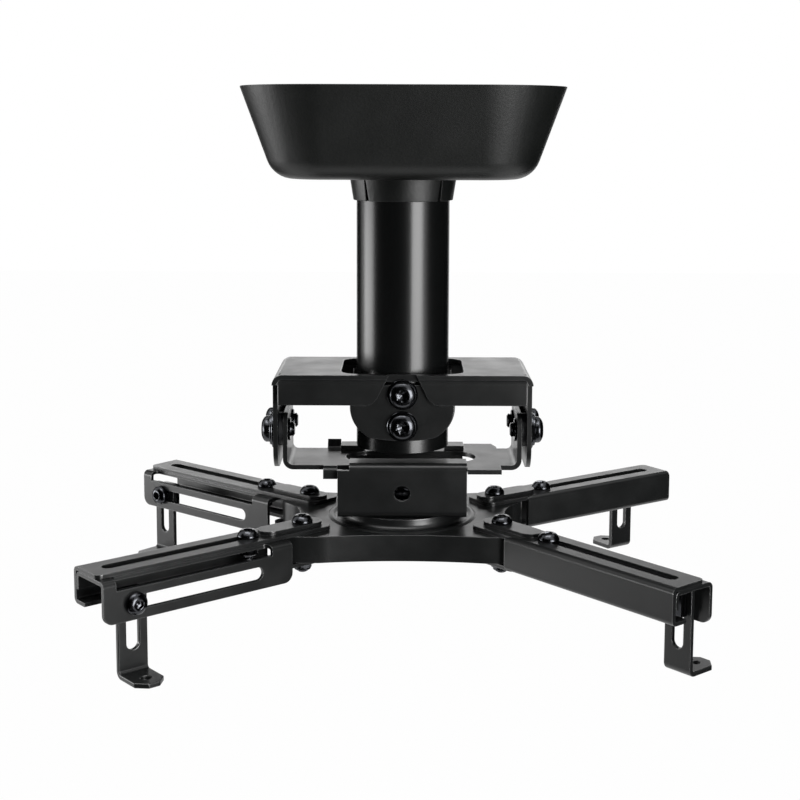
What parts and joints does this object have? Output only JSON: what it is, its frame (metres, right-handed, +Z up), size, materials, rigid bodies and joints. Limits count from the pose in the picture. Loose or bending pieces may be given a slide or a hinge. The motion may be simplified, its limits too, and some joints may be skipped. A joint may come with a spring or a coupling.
{
  "type": "projector ceiling mount",
  "caption": "Black ceiling mount for a projector: canopy, short pole, roll and tilt head, slide-on bracket and spider with telescoping arms and adjustable feet.",
  "frame": {"origin": "centre of the ceiling plate's top face, in the middle of its four anchor holes", "axes": "+Z up into the ceiling, +X to the right and -Y towards the viewer, the front"},
  "size_m": [0.3259, 0.2587, 0.2815],
  "materials": {
    "powder_coat": "fine-textured matt black powder coat",
    "pole_coat": "smooth satin black coat on tube",
    "canopy_plastic": "finely grained black moulded plastic",
    "black_fastener": "black oxide on steel with worn edges"
  },
  "bodies": {
    "mast": {"ceiling_plate": "powder_coat", "pole_socket": "powder_coat", "socket_screws": "black_fastener", "pole": "pole_coat", "roll_bolts": "black_fastener", "roll_washers": "black_fastener", "roll_nuts": "black_fastener"},
    "cover": {"canopy": "canopy_plastic"},
    "head": {"yoke": "powder_coat", "roll_plates": "powder_coat"},
    "saddle": {"cradle": "powder_coat", "tilt_bolts": "black_fastener", "tilt_washers": "black_fastener", "tilt_spacers": "black_fastener", "tilt_nuts": "black_fastener", "bracket": "powder_coat", "swivel_bolt": "black_fastener", "swivel_nut": "black_fastener"},
    "hub": {"spider": "powder_coat", "lobe_sleeves": "black_fastener", "lobe_bolts": "black_fastener", "lobe_nuts": "black_fastener"},
    "arm_rf": {"rail_a_rf": "powder_coat"},
    "slider_rf": {"rail_b_rf": "powder_coat", "extension_bolt_rf": "black_fastener"},
    "carriage_rf": {"carrier_rf": "black_fastener"},
    "leg_rf": {"foot_rf": "powder_coat"},
    "arm_rb": {"rail_a_rb": "powder_coat"},
    "slider_rb": {"rail_b_rb": "powder_coat", "extension_bolt_rb": "black_fastener"},
    "carriage_rb": {"carrier_rb": "black_fastener"},
    "leg_rb": {"foot_rb": "powder_coat"},
    "arm_lb": {"rail_a_lb": "powder_coat"},
    "slider_lb": {"rail_b_lb": "powder_coat", "extension_bolt_lb": "black_fastener"},
    "carriage_lb": {"carrier_lb": "black_fastener"},
    "leg_lb": {"foot_lb": "powder_coat"},
    "arm_lf": {"rail_a_lf": "powder_coat"},
    "slider_lf": {"rail_b_lf": "powder_coat", "extension_bolt_lf": "black_fastener"},
    "carriage_lf": {"carrier_lf": "black_fastener"},
    "leg_lf": {"foot_lf": "powder_coat"}
  },
  "joints": [
    {"name": "canopy_slide", "type": "slide", "parent": "mast", "child": "cover", "axis": [0, 0, -1], "range_m": [0, 0.078]},
    {"name": "roll", "type": "hinge", "parent": "mast", "child": "head", "pos_m": [0, 0, -0.16], "axis": [0, 1, 0], "range_deg": [-6, 6]},
    {"name": "tilt", "type": "hinge", "parent": "head", "child": "saddle", "pos_m": [0, -0.012, -0.182], "axis": [1, 0, 0], "range_deg": [-15, 8]},
    {"name": "swivel", "type": "hinge", "parent": "saddle", "child": "hub", "pos_m": [0, 0, -0.2265], "axis": [0, 0, 1], "continuous": true},
    {"name": "arm_swing_rf", "type": "hinge", "parent": "hub", "child": "arm_rf", "pos_m": [0.0529, -0.031, -0.23], "axis": [0, 0, 1], "range_deg": [-30, 30]},
    {"name": "extension_rf", "type": "slide", "parent": "arm_rf", "child": "slider_rf", "axis": [0.6428, -0.766, 0], "range_m": [0, 0.08]},
    {"name": "foot_slide_rf", "type": "slide", "parent": "slider_rf", "child": "carriage_rf", "axis": [-0.6428, 0.766, 0], "range_m": [0, 0.07]},
    {"name": "foot_height_rf", "type": "slide", "parent": "carriage_rf", "child": "leg_rf", "axis": [0, 0, 1], "range_m": [0, 0.02]},
    {"name": "arm_swing_rb", "type": "hinge", "parent": "hub", "child": "arm_rb", "pos_m": [0.0529, 0.031, -0.23], "axis": [0, 0, 1], "range_deg": [-30, 30]},
    {"name": "extension_rb", "type": "slide", "parent": "arm_rb", "child": "slider_rb", "axis": [0.8241, 0.5664, 0], "range_m": [0, 0.08]},
    {"name": "foot_slide_rb", "type": "slide", "parent": "slider_rb", "child": "carriage_rb", "axis": [-0.8241, -0.5664, 0], "range_m": [0, 0.07]},
    {"name": "foot_height_rb", "type": "slide", "parent": "carriage_rb", "child": "leg_rb", "axis": [0, 0, 1], "range_m": [0, 0.02]},
    {"name": "arm_swing_lb", "type": "hinge", "parent": "hub", "child": "arm_lb", "pos_m": [-0.0529, 0.031, -0.23], "axis": [0, 0, 1], "range_deg": [-30, 30]},
    {"name": "extension_lb", "type": "slide", "parent": "arm_lb", "child": "slider_lb", "axis": [-0.766, 0.6428, 0], "range_m": [0, 0.08]},
    {"name": "foot_slide_lb", "type": "slide", "parent": "slider_lb", "child": "carriage_lb", "axis": [0.766, -0.6428, 0], "range_m": [0, 0.07]},
    {"name": "foot_height_lb", "type": "slide", "parent": "carriage_lb", "child": "leg_lb", "axis": [0, 0, 1], "range_m": [0, 0.02]},
    {"name": "arm_swing_lf", "type": "hinge", "parent": "hub", "child": "arm_lf", "pos_m": [-0.0529, -0.031, -0.23], "axis": [0, 0, 1], "range_deg": [-30, 30]},
    {"name": "extension_lf", "type": "slide", "parent": "arm_lf", "child": "slider_lf", "axis": [-0.766, -0.6428, 0], "range_m": [0, 0.08]},
    {"name": "foot_slide_lf", "type": "slide", "parent": "slider_lf", "child": "carriage_lf", "axis": [0.766, 0.6428, 0], "range_m": [0, 0.07]},
    {"name": "foot_height_lf", "type": "slide", "parent": "carriage_lf", "child": "leg_lf", "axis": [0, 0, 1], "range_m": [0, 0.02]}
  ]
}
